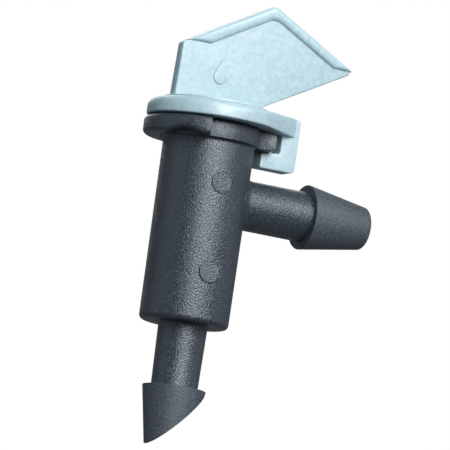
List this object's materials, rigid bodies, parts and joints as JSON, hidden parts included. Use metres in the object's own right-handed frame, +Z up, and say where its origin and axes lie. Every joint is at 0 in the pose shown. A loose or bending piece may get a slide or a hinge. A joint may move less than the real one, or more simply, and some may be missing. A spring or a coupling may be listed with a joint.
{
  "type": "drip emitter",
  "caption": "Take-apart drip emitter: dark barrel with piercing inlet barb and side outlet barb, closed by a pale flag plug that turns and hooks under a bayonet lug.",
  "frame": {"origin": "centre of the barrel's bottom shoulder, where the inlet stem starts", "axes": "+Z up the barrel's axis towards the flag, +X along the outlet, +Y completes a right-handed frame"},
  "size_m": [0.0211, 0.0112, 0.0386],
  "materials": {
    "body_plastic": "fine matt grain",
    "flag_plastic": "satin, slightly translucent"
  },
  "bodies": {
    "emitter_body": {"barrel": "body_plastic", "bayonet_rim": "body_plastic", "rear_lobe": "body_plastic", "outlet_side_lug": "body_plastic", "ejector_pads": "body_plastic", "inlet_stem": "body_plastic", "inlet_barb": "body_plastic", "outlet_stem": "body_plastic", "outlet_barb": "body_plastic"},
    "flag_plug": {"cap_disc": "flag_plastic", "latch_tab": "flag_plastic", "latch_arm": "flag_plastic", "latch_lip": "flag_plastic", "flag_plate": "flag_plastic", "flag_bead": "flag_plastic", "drop_mark": "flag_plastic", "plug_core": "flag_plastic", "plug_nose": "flag_plastic", "labyrinth_baffles": "flag_plastic", "seal_ribs": "flag_plastic"}
  },
  "joints": [
    {"name": "flag_turn", "type": "hinge", "parent": "emitter_body", "child": "flag_plug", "pos_m": [0, 0, 0.01725], "axis": [0, 0, 1], "range_deg": [-90, 90]}
  ]
}
